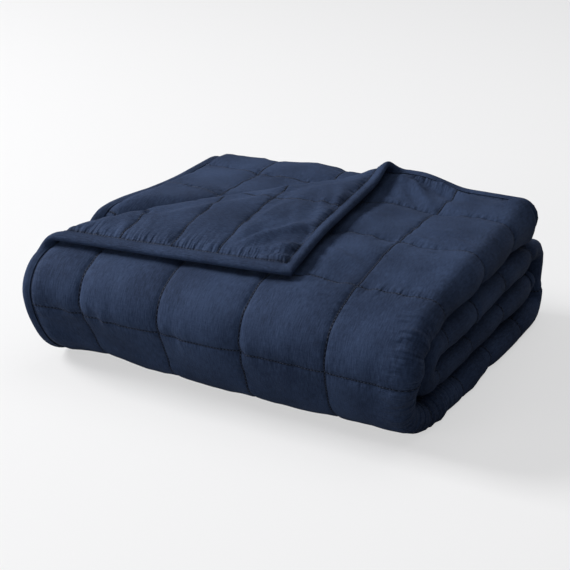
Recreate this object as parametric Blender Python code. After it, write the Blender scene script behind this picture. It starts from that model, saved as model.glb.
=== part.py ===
"""Weighted blanket, folded: a quilted sheet with a bound edge.

The blanket is made the way it is sewn and then folded.

1. Flat: a closed quilted pad lies in the (u, v) plane. u runs across its width, v along its length,
   h is the height above its middle surface. Its pockets are puffed up between the stitch lines.
2. Corner: the corner at u = 0, v = 0 is turned over along a slanting crease.
3. Side fold: the sheet is folded in half across its width, so it becomes a strip of two plies.
4. Roll-up: the strip runs along a winding path from the top level, round the front, along the bottom,
   up the back, forward again as the second level, and back as the third.
5. Lie: the lower levels are shifted a little sideways, since nobody folds such a heavy thing evenly.

Everything is in metres, +Z up, +X to the right along the front, +Y to the back. The origin is on the
flat underside, near its middle.
"""
import math

import bmesh
import bpy
import numpy as np

# ---------------------------------------------------------------- the flat sheet
BINDING_CLOTH = 0.0015         # thickness of the binding's doubled cloth
EDGE_FLAT = 0.013              # the flat margin that the binding covers
EDGE_THICK = 0.006             # the pad's thickness in that margin
CLEAR = 0.0010                 # room between the pad's edge and the binding
SLOT_ROOM = 0.0008             # room between the pad's faces and the binding's two flanges
POCKET = 0.134                 # width of a pocket

SIDE_FOLD_START = 0.6005       # u where the side fold begins
SIDE_FOLD_CLOTH = 0.042        # width of cloth that lies in the side fold

# columns of pockets across the width: width, and the cuts across each stretch of the column
COLUMNS = (
    dict(name="hem column", stretches=((EDGE_FLAT, 1), (0.0795, 3))),
    dict(name="front column 1", stretches=((POCKET, 4),)),
    dict(name="front column 2", stretches=((POCKET, 4),)),
    dict(name="front column 3", stretches=((POCKET, 4),)),
    dict(name="side fold column", stretches=((0.106, 3), (SIDE_FOLD_CLOTH, 6), (0.048, 2))),
    dict(name="inner column 1", stretches=((POCKET, 2),)),
    dict(name="inner column 2", stretches=((POCKET, 3),)),
    dict(name="inner column 3", stretches=((POCKET, 3),)),
    dict(name="inner hem column", stretches=((0.115, 3), (EDGE_FLAT, 1))),
)

# rows of pockets along the length, from the hem on top to the hem inside the fold
ROWS = (
    dict(name="top hem row", length=0.110, count=1, cuts=3, hem="start"),
    dict(name="top", length=0.1375, count=2, cuts=4, hem=None),
    dict(name="front, upper", length=0.123, count=1, cuts=5, hem=None),
    dict(name="front, lower", length=0.124, count=1, cuts=5, hem=None),
    dict(name="bottom", length=0.107, count=3, cuts=3, hem=None),
    dict(name="back", length=0.114, count=2, cuts=6, hem=None),
    dict(name="second level", length=0.107, count=3, cuts=3, hem=None),
    dict(name="inner turn", length=0.114, count=1, cuts=7, hem=None),
    dict(name="third level", length=0.117, count=3, cuts=3, hem=None),
)

ACROSS_DEPTH = 0.60            # how far the pad is drawn in at a stitch line that runs along v
ALONG_DEPTH = 0.46             # and at a stitch line that runs along u
FOLD_DEPTH = 0.24              # the same where that line goes round the side fold
INNER_EASE = 0.45              # share by which the lines on the inner ply are shallower
VALLEY_SHARES = {4: (0.12, 0.5, 0.88, 1.0),          # where four or five cuts lie in a pocket
                 5: (0.12, 0.36, 0.64, 0.88, 1.0)}
PUFF = 0.45                    # exponent of the pocket's crown: lower is flatter and fuller
EDGE_RISE = 0.028              # from the binding to the full thickness

# ---------------------------------------------------------------- the roll-up
PLY_GAP = 0.003                # room between the two plies of the strip
TOP_Z, SECOND_Z, THIRD_Z, BOTTOM_Z = 0.186, 0.124, 0.072, 0.018    # middle of each level
TOP_HEM_Y = 0.491              # where the strip starts, at the back of the top level
DROOP_RADIUS = 0.070           # the inner ply's corner reaches past it and hangs over this curve
DROOP_TURN = 75.0              # degrees of that curve
DROOP_START = 0.012            # how far behind the top hem it starts
FRONT_Y = 0.022                # front-most point of the strip's middle
FRONT_Z = 0.116                # its height
SHOULDER = 0.245               # the top level starts to slope down this far behind the front
HEEL = 0.085                   # the bottom level starts this far behind the front
ROLL_EXPONENT = 2.6            # the front roll is a superellipse
BACK_TURN_Y = 0.470            # centre of the turn at the back
BACK_WAIST = 0.022             # how far that turn is drawn in at its middle
INNER_TURN_Y = 0.106           # centre of the tight turn inside the front roll

# half the thickness of the strip along its middle line, by the height and depth that it passes
HALF_BY_PLACE = (
    dict(name="top level", y=0.491, z=TOP_Z, half=0.033),
    dict(name="top, before the shoulder", y=0.210, z=0.185, half=0.033),
    dict(name="shoulder", y=0.125, z=0.1795, half=0.026),
    dict(name="front roll", y=0.060, z=0.168, half=0.028),
    dict(name="front", y=0.022, z=FRONT_Z, half=0.029),
    dict(name="front, low", y=0.030, z=0.060, half=0.026),
    dict(name="bottom", y=0.300, z=BOTTOM_Z, half=0.024),
    dict(name="before the back turn", y=0.455, z=BOTTOM_Z, half=0.023),
    dict(name="back turn, low", y=0.500, z=0.031, half=0.019),
    dict(name="back turn, high", y=0.500, z=0.114, half=0.019),
    dict(name="second level", y=0.430, z=SECOND_Z, half=0.025),
    dict(name="before the inner turn", y=0.150, z=SECOND_Z, half=0.025),
    dict(name="inner turn, high", y=0.100, z=0.123, half=0.0235),
    dict(name="inner turn, low", y=0.100, z=0.073, half=0.0235),
    dict(name="third level", y=0.150, z=THIRD_Z, half=0.0225),
    dict(name="inner end", y=0.480, z=THIRD_Z, half=0.0225),
)

SIDE_FOLD_X = 0.642            # where the side fold starts to turn
HEM_SPREAD = 0.0075            # the two plies part by this at the top hem
HEM_SPREAD_LENGTH = 0.070
SLIP = 0.110                   # the inner ply lies turned by this slope against the outer one
LIFT = 0.018                   # it rises by this where the turned-back corner leaves it free
LIFT_MORE = 0.016              # and by this more towards the front end of the crease
LIFT_PEAK = 0.014              # or towards the back end
LOFT_RISE = 0.018              # under it, the outer ply of the second level rises by this at the left
LOFT_X, LOFT_WIDTH = 0.380, 0.300
LOFT_FROM, LOFT_TO = 1.150, 1.540        # between these places along the strip
FLARE = 0.010                  # the side hem bulges out by this on the front roll
FLARE_WIDTH = 0.120            # and this much cloth beside it follows
FLARE_FROM, FLARE_TO = 0.400, 0.620      # between these places along the strip
PEAK_RISE = 0.016              # the top hem's upper ply stands up by this about the end of the crease
PEAK_FROM, PEAK_TO = 0.330, 0.510        # between these distances from the side hem
PEAK_LENGTH = 0.100            # and as far down the strip as this
HEEL_PRESS = 0.15              # share of its loft that the outer ply loses at the foot of the front
TUCK = 0.019                   # that foot is tucked back by this towards its left end
TUCK_ALL = 0.009               # and by this along its whole length
TUCK_X, TUCK_WIDTH = 0.400, 0.270        # where that starts, and how far left it grows
REACH = 0.030                  # the right end of the lower levels reaches this much further back
BOW = 0.005                    # their side hem bows out by this in the middle
BOW_Y, BOW_HALF = 0.280, 0.220
ROUNDING = 0.012               # and their near right corner is rounded off by this
TOP_IN, BOTTOM_OUT = 0.009, 0.005        # at the back, the right end of the top lies in, the bottom's out

# ---------------------------------------------------------------- the turned-back corner
CREASE_LEFT_V = 0.448          # where the crease leaves the side hem
CREASE_BACK_U = 0.402          # where it leaves the top hem
TIP_U, TIP_V = 0.403, 0.404    # where the corner comes to lie
ROLL_LEFT, ROLL_MIDDLE, ROLL_BACK = 0.0095, 0.0100, 0.0140   # radius of the crease along it
CREASE_THICK = 0.010           # the pad is pressed to this at the crease
FLAP_THICK = 0.020             # crown thickness of the turned corner
UNDER_PRESS = 0.45             # share of its loft that the pad loses beneath the corner
CREASE_CUTS = (0.0, 0.009, 0.018, 0.029, 0.040, 0.052)
# stitch lines on the turned corner, measured from its two hems
FLAP_ACROSS = (0.131, 0.210, 0.300)
FLAP_ALONG = (0.192, 0.354)

ORIGIN_X, ORIGIN_Y = 0.335, 0.254     # the origin, in the coordinates used above

NAVY = (0.021, 0.036, 0.085, 1.0)


# ---------------------------------------------------------------- stations and stitch lines
def spread(start, width, cuts):
    """Cuts across a stretch. Four or five are drawn to its two stitch lines, where the pad dips."""
    shares = VALLEY_SHARES.get(cuts, [(i + 1) / cuts for i in range(cuts)])
    return [start + width * share for share in shares]


def column_stations():
    """Positions of the cuts across the width, and of the stitch lines among them."""
    stations, seams = [0.0], []
    for column in COLUMNS:
        for width, cuts in column["stretches"]:
            stations += spread(stations[-1], width, cuts)
        seams.append(stations[-1])
    return np.array(stations), np.array([0.0] + seams)


def row_stations():
    """Positions of the cuts along the length, and of the stitch lines among them."""
    stations, seams = [0.0], [0.0]
    for row in ROWS:
        for _ in range(row["count"]):
            start = stations[-1]
            if row["hem"] == "start":
                stations.append(EDGE_FLAT)
                start, rest = EDGE_FLAT, row["length"] - EDGE_FLAT
            else:
                rest = row["length"]
            stations += spread(start, rest, row["cuts"])
            seams.append(stations[-1])
    stations.append(stations[-1] + EDGE_FLAT)
    seams[-1] = stations[-1]
    return np.array(stations), np.array(seams)


U_CUTS, U_SEAMS = column_stations()
V_CUTS, V_SEAMS = row_stations()
WIDTH, LENGTH = float(U_CUTS[-1]), float(V_CUTS[-1])


def smooth(x):
    """0 below 0, 1 above 1, an even rise between."""
    x = np.clip(x, 0.0, 1.0)
    return x * x * (3.0 - 2.0 * x)


def crown(position, seams):
    """Rise of a pocket between its two stitch lines: 0 on a line, 1 in the middle."""
    position = np.clip(position, seams[0], seams[-1] - 1e-9)
    pocket = np.searchsorted(seams, position, side="right") - 1
    share = (position - seams[pocket]) / (seams[pocket + 1] - seams[pocket])
    return np.sin(math.pi * share) ** PUFF


# ---------------------------------------------------------------- the path of the strip
def superellipse(centre_y, centre_z, half_y, half_z, start, stop, count=60):
    """Points of a superellipse quarter: angle from start to stop, powers 2 / exponent of cosine and sine."""
    angle = np.radians(np.linspace(start, stop, count))
    power = 2.0 / ROLL_EXPONENT
    y = centre_y - half_y * np.abs(np.cos(angle)) ** power
    z = centre_z + half_z * np.sign(np.sin(angle)) * np.abs(np.sin(angle)) ** power
    return np.column_stack([y, z])


def arc(centre_y, centre_z, radius, start, stop, count=40):
    """Points of a circle's arc, angles in degrees from +Y towards +Z."""
    angle = np.radians(np.linspace(start, stop, count))
    return np.column_stack([centre_y + radius * np.cos(angle), centre_z + radius * np.sin(angle)])


def strip_path():
    """The strip's middle line in the (y, z) plane, as close points with their arc length."""
    droop = arc(TOP_HEM_Y + DROOP_START, TOP_Z - DROOP_RADIUS, DROOP_RADIUS, 90 - DROOP_TURN, 90)
    front_top = superellipse(FRONT_Y + SHOULDER, FRONT_Z, SHOULDER, TOP_Z - FRONT_Z, 90, 0)
    front_low = superellipse(FRONT_Y + HEEL, FRONT_Z, HEEL, FRONT_Z - BOTTOM_Z, 0, -90)
    back_radius = (SECOND_Z - BOTTOM_Z) / 2
    back = arc(BACK_TURN_Y, BOTTOM_Z + back_radius, back_radius, -90, 90)
    height = (back[:, 1] - BOTTOM_Z - back_radius) / back_radius
    back[:, 0] -= BACK_WAIST * (1.0 - height ** 2) ** 2
    inner_radius = (SECOND_Z - THIRD_Z) / 2
    inner = arc(INNER_TURN_Y, THIRD_Z + inner_radius, inner_radius, 90, 270)
    points = np.vstack([droop, front_top, front_low[1:], back, inner,
                        [[INNER_TURN_Y + LENGTH, THIRD_Z]]])
    step = np.linalg.norm(np.diff(points, axis=0), axis=1)
    keep = np.concatenate([[True], step > 1e-6])
    points = points[keep]
    length = np.concatenate([[0.0], np.cumsum(np.linalg.norm(np.diff(points, axis=0), axis=1))])
    length -= DROOP_RADIUS * math.radians(DROOP_TURN) + DROOP_START
    even = np.arange(round(length[0], 3) + 0.001, LENGTH + 0.2, 0.002)
    return even, np.column_stack([np.interp(even, length, points[:, 0]),
                                  np.interp(even, length, points[:, 1])])


PATH_S, PATH_YZ = strip_path()
PATH_T = np.gradient(PATH_YZ, PATH_S, axis=0)
PATH_ANGLE = np.unwrap(np.arctan2(PATH_T[:, 1], PATH_T[:, 0]))


def half_table():
    """Arc length of each named place on the path, with the strip's half thickness there."""
    where = []
    for place in HALF_BY_PLACE:
        gap = np.hypot(PATH_YZ[:, 0] - place["y"], PATH_YZ[:, 1] - place["z"])
        where.append(PATH_S[int(np.argmin(gap))])
    return np.array(where), np.array([place["half"] for place in HALF_BY_PLACE])


HALF_S, HALF_VALUE = half_table()


def half_thickness(v):
    """Half the thickness of the two-ply strip at arc length v."""
    return np.interp(v, HALF_S, HALF_VALUE)


# ---------------------------------------------------------------- the crease of the corner
CREASE_A = np.array([0.0, CREASE_LEFT_V])
CREASE_B = np.array([CREASE_BACK_U, 0.0])
CREASE_LENGTH = float(np.linalg.norm(CREASE_B - CREASE_A))
CREASE_DIR = (CREASE_B - CREASE_A) / CREASE_LENGTH
CORNER_DIR = np.array([CREASE_DIR[1], -CREASE_DIR[0]])
if CORNER_DIR @ (np.zeros(2) - CREASE_A) < 0:
    CORNER_DIR = -CORNER_DIR


def crease_coordinates(u, v):
    """Distance along the crease from its left end, and distance past it towards the corner."""
    du, dv = u - CREASE_A[0], v - CREASE_A[1]
    along = du * CREASE_DIR[0] + dv * CREASE_DIR[1]
    past = du * CORNER_DIR[0] + dv * CORNER_DIR[1]
    return along, past


def roll_radius(along):
    """The crease's radius: a parabola through its three named values."""
    share = np.clip(along / CREASE_LENGTH, 0.0, 1.0) * 2.0 - 1.0
    tilt, bend = (ROLL_BACK - ROLL_LEFT) / 2, (ROLL_BACK + ROLL_LEFT) / 2 - ROLL_MIDDLE
    return ROLL_MIDDLE + tilt * share + bend * share ** 2


CORNER_ALONG, CORNER_PAST = crease_coordinates(0.0, 0.0)
TIP_ALONG, TIP_PAST = crease_coordinates(TIP_U, TIP_V)
FLAP_SHEAR = (TIP_ALONG - CORNER_ALONG) / CORNER_PAST
FLAP_STRETCH = -TIP_PAST / (CORNER_PAST - math.pi * float(roll_radius(TIP_ALONG)))


def turn_corner(u, v, h):
    """Turn the corner over: the cloth past the crease goes round a roller and comes back on top.

    With r the roller's radius and a = past / r the angle turned, the cloth moves (r - h) sin a past the
    crease and r - (r - h) cos a up, until it has turned half a circle; the rest runs back flat.
    """
    along, past = crease_coordinates(u, v)
    turned = np.maximum(past, 0.0)
    moved = along + FLAP_SHEAR * turned
    radius = roll_radius(moved)
    angle = np.minimum(turned / radius, math.pi)
    beyond = np.maximum(turned - math.pi * radius, 0.0)
    out = (radius - h) * np.sin(angle) - beyond * FLAP_STRETCH
    up = radius - (radius - h) * np.cos(angle)
    flap = past > 0.0
    past = np.where(flap, out, past)
    new_u = CREASE_A[0] + moved * CREASE_DIR[0] + past * CORNER_DIR[0]
    new_v = CREASE_A[1] + moved * CREASE_DIR[1] + past * CORNER_DIR[1]
    return new_u, new_v, np.where(flap, up, h)


def flare(x, v):
    """How far the cloth near the side hem is pushed outwards on the front roll."""
    along = smooth((v - FLARE_FROM) / 0.060) * smooth((FLARE_TO - v) / 0.100)
    return FLARE * along * smooth(1.0 - x / FLARE_WIDTH)


def side_fold(u, v, h):
    """Fold the sheet in half: the outer ply lies above the strip's middle, the inner ply below it."""
    ply = half_thickness(v) / 2 + HEM_SPREAD * smooth(1.0 - v / HEM_SPREAD_LENGTH)
    turn = np.clip((u - SIDE_FOLD_START) / SIDE_FOLD_CLOTH, 0.0, 1.0) * math.pi
    inner = np.maximum(u - SIDE_FOLD_START - SIDE_FOLD_CLOTH, 0.0)
    hem_x = SIDE_FOLD_X - SIDE_FOLD_START
    flat_x = np.where(u < SIDE_FOLD_START, hem_x + u, SIDE_FOLD_X - inner)
    x = flat_x + (ply + h) * np.sin(turn)
    k = (ply + h) * np.cos(turn)
    slip = SLIP * inner * np.interp(v, (0.0, 0.256, 0.620), (1.0, 1.43, 0.30))
    past = crease_coordinates(x - hem_x, v - slip)[1]
    lift = LIFT + LIFT_MORE * smooth((v - slip - 0.080) / 0.250)
    lift = lift + LIFT_PEAK * smooth((x - hem_x - 0.050) / 0.220) * smooth(1.0 - v / 0.200)
    start = 0.010 - 0.030 * smooth(1.0 - v / 0.120)
    k = k + lift * smooth((past - start) / 0.060) * (inner > 0.0)
    peak = smooth((x - hem_x - PEAK_FROM) / 0.070) * smooth((PEAK_TO + hem_x - x) / 0.090)
    k = k + PEAK_RISE * peak * smooth(1.0 - v / PEAK_LENGTH) * (inner == 0.0)
    second = smooth((v - LOFT_FROM) / 0.090) * smooth((LOFT_TO - v) / 0.120) * (inner == 0.0)
    k = k + LOFT_RISE * second * smooth((LOFT_X - x) / LOFT_WIDTH)
    return x - flare(x - hem_x, v - slip), v - slip, k


def roll_up(x, v, k):
    """Lay the strip along its path: k is measured along the normal, which points up on the top level."""
    inside = np.clip(v, PATH_S[0], PATH_S[-1])
    angle = np.interp(inside, PATH_S, PATH_ANGLE)
    tangent_y, tangent_z = np.cos(angle), np.sin(angle)
    over = v - inside
    y = np.interp(inside, PATH_S, PATH_YZ[:, 0]) + tangent_y * over
    z = np.interp(inside, PATH_S, PATH_YZ[:, 1]) + tangent_z * over
    return x, y + tangent_z * k, z - tangent_y * k


def settle(x, y, z):
    """Shift the lower levels sideways: the foot of the front goes back, most towards its left end, and so
    does their right end at the back. The side hem bows out, and the near right corner is rounded off."""
    low = smooth((0.130 - z) / 0.080)
    tuck = TUCK_ALL + TUCK * np.clip((TUCK_X - x) / TUCK_WIDTH, 0.0, 1.2) ** 1.3
    tuck = tuck * (0.3 + 0.7 * smooth((x - 0.040) / 0.070))
    tuck = tuck * low * smooth((0.380 - y) / 0.300)
    reach = smooth((x - 0.300) / 0.300) * smooth((y - 0.250) / 0.250) * smooth((0.160 - z) / 0.030)
    bow = np.maximum(1.0 - ((y - BOW_Y) / BOW_HALF) ** 2, 0.0) * smooth((0.300 - x) / 0.250) * low
    corner = np.clip((0.250 - y) / 0.200, 0.0, 1.0) ** 2 * smooth((x - 0.450) / 0.200) * low
    back = smooth((x - 0.500) / 0.150) * smooth((y - 0.250) / 0.200)
    end = TOP_IN * smooth((z - 0.150) / 0.020) - BOTTOM_OUT * smooth((0.065 - z) / 0.020)
    return x - BOW * bow - ROUNDING * corner - end * back, y + tuck + REACH * reach, z


def fold(points):
    """Carry flat points (u, v, h) through the three folds, and set them down on the floor."""
    u, v, h = points[:, 0], points[:, 1], points[:, 2]
    outer = u < SIDE_FOLD_START
    turned_u, turned_v, turned_h = turn_corner(u, v, h)
    u = np.where(outer, turned_u, u)
    v = np.where(outer, turned_v, v)
    h = np.where(outer, turned_h, h)
    x, y, z = settle(*roll_up(*side_fold(u, v, h)))
    return np.column_stack([x - ORIGIN_X, y - ORIGIN_Y, np.maximum(z, 0.0)])


# ---------------------------------------------------------------- the pad's thickness
def edge_distance(u, v):
    """Distance to the nearest of the four edges."""
    return np.minimum(np.minimum(u, WIDTH - u), np.minimum(v, LENGTH - v))


def under_flap(u, v):
    """1 well beneath the turned corner, 0 away from it."""
    along, past = crease_coordinates(u, v)
    tip = np.array([TIP_U, TIP_V])
    inside = -past
    for start, stop in ((CREASE_A, tip), (tip, CREASE_B)):
        side = (stop - start) / np.linalg.norm(stop - start)
        inward = np.array([side[1], -side[0]])
        centre = (CREASE_A + CREASE_B + tip) / 3
        if inward @ (centre - start) < 0:
            inward = -inward
        inside = np.minimum(inside, (u - start[0]) * inward[0] + (v - start[1]) * inward[1])
    return smooth((inside + 0.020) / 0.040)


def loft(u, v):
    """Thickness of the pad at each flat point."""
    ply = half_thickness(v) - PLY_GAP
    across = crown(u, U_SEAMS)
    along_v = crown(v, V_SEAMS)
    along, past = crease_coordinates(u, v)
    outer = (u < SIDE_FOLD_START).astype(float)
    flap = smooth((past - 0.030) / 0.020) * outer
    flap_across = crown(v, np.array((0.0,) + FLAP_ACROSS + (0.60,)))
    flap_along = crown(u, np.array((0.0,) + FLAP_ALONG + (0.60,)))
    ply = ply + (FLAP_THICK - ply) * flap
    across = across + (flap_along - across) * flap
    along_v = along_v + (flap_across - along_v) * flap
    ply = ply * (1.0 - UNDER_PRESS * under_flap(u, v) * outer * (past < 0.0))
    heel = smooth((v - 0.545) / 0.030) * smooth((0.680 - v) / 0.040) * smooth((0.660 - u) / 0.040)
    ply = ply * (1.0 - HEEL_PRESS * heel)
    ease = 1.0 - INNER_EASE * smooth((u - SIDE_FOLD_START) / SIDE_FOLD_CLOTH)
    off_fold = np.abs(u - SIDE_FOLD_START - SIDE_FOLD_CLOTH / 2) - SIDE_FOLD_CLOTH / 2
    along_depth = FOLD_DEPTH + (ALONG_DEPTH * ease - FOLD_DEPTH) * smooth(off_fold / 0.050)
    across_depth = ACROSS_DEPTH * ease * (1.0 - 0.6 * heel)
    pad = ply * (1.0 - across_depth * (1.0 - across)) * (1.0 - along_depth * (1.0 - along_v))
    crease = smooth((past + 0.020) / 0.016) * smooth((0.066 - past) / 0.020) * outer
    pad = pad + (np.minimum(pad, CREASE_THICK) - pad) * crease
    rise = smooth((edge_distance(u, v) - EDGE_FLAT) / EDGE_RISE)
    return EDGE_THICK + (np.maximum(pad, EDGE_THICK) - EDGE_THICK) * rise


# ---------------------------------------------------------------- building
def new_material(name, colour, roughness):
    """A plain cloth material."""
    material = bpy.data.materials.new(name)
    material.use_nodes = True
    shader = material.node_tree.nodes["Principled BSDF"]
    shader.inputs["Base Color"].default_value = colour
    shader.inputs["Roughness"].default_value = roughness
    shader.inputs["Metallic"].default_value = 0.0
    return material


def add_object(bm, name, collection, material):
    """Turn a bmesh into an object with smooth faces."""
    mesh = bpy.data.meshes.new(name)
    bm.to_mesh(mesh)
    bm.free()
    mesh.shade_smooth()
    mesh.materials.append(material)
    thing = bpy.data.objects.new(name, mesh)
    collection.objects.link(thing)
    return thing


def fold_mesh(bm):
    """Fold every vertex. v runs towards -Y, so the folded faces are turned round to point out again."""
    bmesh.ops.recalc_face_normals(bm, faces=list(bm.faces))
    for vert, place in zip(bm.verts, fold(np.array([tuple(vert.co) for vert in bm.verts]))):
        vert.co = place
    bmesh.ops.reverse_faces(bm, faces=list(bm.faces))


def in_margin(face):
    """Whether a face of the flat sheet lies in the margin that the binding covers."""
    return edge_distance(*face.calc_center_median().xy) < EDGE_FLAT


def split_walls(bm):
    """Cut each upright face of the hem from its low corner to its high one, the same way on every piece."""
    for face in [face for face in bm.faces if len(face.verts) == 4]:
        low = [vert for vert in face.verts if vert.co.z < 0.0]
        high = [vert for vert in face.verts if vert.co.z > 0.0]
        if len(low) == len(high) == 2:
            bmesh.utils.face_split(face, min(low, key=lambda vert: vert.co.x + vert.co.y),
                                   max(high, key=lambda vert: vert.co.x + vert.co.y))


def flat_sheet():
    """The sheet's middle surface: a grid with a cut at every station, and cuts along the crease."""
    bm = bmesh.new()
    bmesh.ops.create_grid(bm, x_segments=len(U_CUTS) - 1, y_segments=len(V_CUTS) - 1, size=1.0)
    for vert in bm.verts:
        column = round((vert.co.x + 1.0) / 2.0 * (len(U_CUTS) - 1))
        row = round((vert.co.y + 1.0) / 2.0 * (len(V_CUTS) - 1))
        vert.co = (U_CUTS[column], V_CUTS[row], 0.0)
    for distance in CREASE_CUTS:
        near = [face for face in bm.faces
                if face.calc_center_median().x < SIDE_FOLD_START - 0.1
                and face.calc_center_median().y < CREASE_LEFT_V + 0.06]
        parts = set(near)
        for face in near:
            parts.update(face.edges)
            parts.update(face.verts)
        at = CREASE_A + CORNER_DIR * distance
        bmesh.ops.bisect_plane(bm, geom=list(parts), dist=1e-5, plane_co=(at[0], at[1], 0.0),
                               plane_no=(CORNER_DIR[0], CORNER_DIR[1], 0.0))
    bmesh.ops.triangulate(bm, faces=[face for face in bm.faces
                                     if len(face.verts) > 4 or in_margin(face)])
    return bm


def build_pad(collection, material):
    """The quilted pad: the flat sheet doubled, puffed and folded."""
    bm = flat_sheet()
    raised = bmesh.ops.extrude_face_region(bm, geom=list(bm.faces), use_keep_orig=True)["geom"]
    upper = {item for item in raised if isinstance(item, bmesh.types.BMVert)}
    flat = np.array([tuple(vert.co) for vert in bm.verts])
    for vert, thick in zip(bm.verts, loft(flat[:, 0], flat[:, 1])):
        vert.co.z = thick / 2 if vert in upper else -thick / 2
    split_walls(bm)
    fold_mesh(bm)
    return add_object(bm, "quilted_pad", collection, material)


def build_binding(collection, material):
    """The binding: a doubled strip that wraps the pad's margin all round.

    The sheet's margin faces are laid four times: the strip's outer and inner surface over the pad, and
    the same two under it. Walls join them along the hem and along the margin's inner line.
    """
    sheet = flat_sheet()
    margin = [face for face in sheet.faces if in_margin(face)]
    verts = sorted({vert for face in margin for vert in face.verts}, key=lambda vert: vert.index)
    inner = EDGE_THICK / 2 + SLOT_ROOM
    outer = inner + BINDING_CLOTH
    bm = bmesh.new()
    layers = []
    for height, reach in ((outer, CLEAR + BINDING_CLOTH), (inner, CLEAR), (-inner, CLEAR),
                          (-outer, CLEAR + BINDING_CLOTH)):
        layer = {}
        for vert in verts:
            u, v = vert.co.xy
            u += reach * (float(u > WIDTH - 1e-6) - float(u < 1e-6))
            v += reach * (float(v > LENGTH - 1e-6) - float(v < 1e-6))
            layer[vert] = bm.verts.new((u, v, height))
        layers.append(layer)
        for face in margin:
            bm.faces.new([layer[vert] for vert in face.verts])
    counted = [edge for face in margin for edge in face.edges]
    for edge in {edge for edge in counted if counted.count(edge) == 1}:
        at_hem = all(edge_distance(*vert.co.xy) < 1e-6 for vert in edge.verts)
        start, stop = edge.verts
        for low, high in (((0, 3), (1, 2)) if at_hem else ((0, 1), (2, 3))):
            bm.faces.new((layers[low][start], layers[low][stop], layers[high][stop], layers[high][start]))
    sheet.free()
    split_walls(bm)
    fold_mesh(bm)
    return add_object(bm, "binding", collection, material)


def main():
    for thing in list(bpy.data.objects):
        bpy.data.objects.remove(thing, do_unlink=True)
    collection = bpy.data.collections.new("weighted_blanket")
    bpy.context.scene.collection.children.link(collection)
    pad = build_pad(collection, new_material("quilted_cloth", NAVY, 0.85))
    build_binding(collection, new_material("binding_cloth", NAVY, 0.80))
    print(f"flat size {WIDTH:.3f} x {LENGTH:.3f} m, pad faces {len(pad.data.polygons)}")


main()
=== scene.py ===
# %% [markdown]
# # A folded weighted blanket
#
# A weighted blanket is two cloths stitched together into square pockets, with small glass beads and a
# little batting in each pocket. Its raw edge is wrapped in a strip of the same cloth, the binding.
#
# We make the blanket the way it is sewn: flat first, as a sheet with coordinates u across and v along,
# and then we fold it with the same formulas that a pair of hands would follow. Everything that belongs
# to the cloth, such as a stitch line, a pucker or the weave, is written in the flat coordinates, so it
# goes round the folds by itself.

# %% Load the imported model
import math

import bpy
import numpy as np
from mathutils import Matrix, Vector


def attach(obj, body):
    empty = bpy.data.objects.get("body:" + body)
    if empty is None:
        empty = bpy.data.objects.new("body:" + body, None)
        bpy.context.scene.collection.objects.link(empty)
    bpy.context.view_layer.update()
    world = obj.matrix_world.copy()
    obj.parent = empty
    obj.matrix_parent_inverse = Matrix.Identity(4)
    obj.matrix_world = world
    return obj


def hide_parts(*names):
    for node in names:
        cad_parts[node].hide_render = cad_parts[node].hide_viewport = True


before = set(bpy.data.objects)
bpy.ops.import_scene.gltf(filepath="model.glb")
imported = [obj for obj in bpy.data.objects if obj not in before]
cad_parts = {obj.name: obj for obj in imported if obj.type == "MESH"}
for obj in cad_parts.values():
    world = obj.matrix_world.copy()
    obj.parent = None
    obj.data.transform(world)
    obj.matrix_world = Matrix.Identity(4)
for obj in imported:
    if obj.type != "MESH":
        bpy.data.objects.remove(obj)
scene = bpy.context.scene
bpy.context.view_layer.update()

# %% [markdown]
# ## The camera
#
# The camera looks down at the near right corner of the pile. A long lens keeps the far edges almost as
# large as the near ones, which is how a product is usually pictured. We build its axes by hand: one
# axis points back from the subject, one to the right and one up, and a small roll turns the last two.

# %% Camera
CAMERA_PLACE = Vector((1.0144, -1.8700, 1.0184))
AZIMUTH, ELEVATION, ROLL = (math.radians(a) for a in (28.33, 23.38, -0.41))
LENS = 94.74

back = Vector((math.sin(AZIMUTH) * math.cos(ELEVATION), -math.cos(AZIMUTH) * math.cos(ELEVATION),
               math.sin(ELEVATION)))
right = Vector((math.cos(AZIMUTH), math.sin(AZIMUTH), 0.0))
up = back.cross(right)
rolled_right = right * math.cos(ROLL) + up * math.sin(ROLL)
rolled_up = up * math.cos(ROLL) - right * math.sin(ROLL)
camera = bpy.data.objects.new("camera", bpy.data.cameras.new("camera"))
camera.data.lens, camera.data.sensor_width, camera.data.clip_end = LENS, 36.0, 60.0
turn = Matrix((rolled_right, rolled_up, back)).transposed().to_4x4()
camera.matrix_world = Matrix.Translation(CAMERA_PLACE) @ turn
scene.collection.objects.link(camera)
scene.camera = camera
print("camera at", tuple(round(x, 3) for x in CAMERA_PLACE), "lens", LENS)

# %% [markdown]
# ## The flat blanket
#
# The pockets are drawn first, as widths of columns and lengths of rows. The lists below are the cutting
# plan: each entry is a stretch of cloth with the size of mesh cell that it deserves. Cloth that shows
# gets cells of about 5 mm, cloth deep inside the fold gets coarser ones. The turned corner shows the
# blanket's other face, whose lines lie elsewhere, so the mesh gets a line at those places too.

# %% The cutting plan
EDGE_FLAT = 0.013              # the margin that the binding covers
EDGE_THICK = 0.006             # the pad's thickness there
POCKET = 0.134
SIDE_FOLD_START, SIDE_FOLD_CLOTH = 0.6005, 0.042

# stretches across the width: width, cell, and whether a stitch line ends the stretch
COLUMNS = (
    (EDGE_FLAT, 0.005, False), (0.0795, 0.0050, True),
    (POCKET, 0.0050, True), (POCKET, 0.0050, True), (POCKET, 0.0050, True),
    (0.106, 0.0050, False), (SIDE_FOLD_CLOTH, 0.0035, False), (0.048, 0.0060, True),
    (POCKET, 0.0110, True), (POCKET, 0.0100, True), (POCKET, 0.0100, True),
    (0.115, 0.0096, False), (EDGE_FLAT, 0.005, True),
)
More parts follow.
